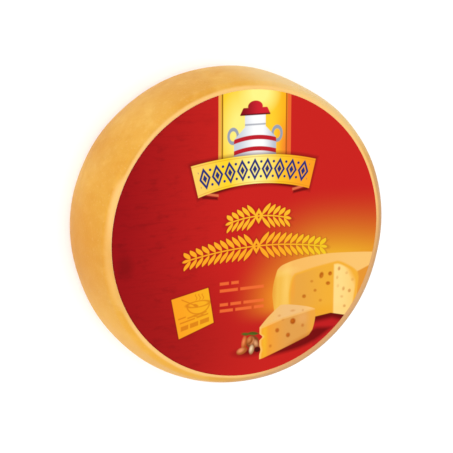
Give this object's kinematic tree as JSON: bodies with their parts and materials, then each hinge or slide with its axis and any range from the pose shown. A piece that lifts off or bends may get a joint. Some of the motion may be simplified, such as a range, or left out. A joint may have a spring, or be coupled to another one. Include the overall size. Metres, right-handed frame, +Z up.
{
  "type": "cheese wheel",
  "caption": "Whole emmental-type cheese wheel lying flat, with a bulged side, soft rounded edges, a smooth orange-yellow rind and a round printed paper label over its upper face.",
  "frame": {"origin": "middle of the back face, on the surface that the wheel rests on", "axes": "+Z up along the wheel's axis and out of the labelled face, +Y to the top of the label's picture, +X to the label's right"},
  "size_m": [0.36, 0.36, 0.1134],
  "materials": {
    "rind": "satin",
    "label_print": "satin"
  },
  "bodies": {
    "root": {"cheese_wheel": "rind", "label": "label_print"}
  },
  "joints": []
}
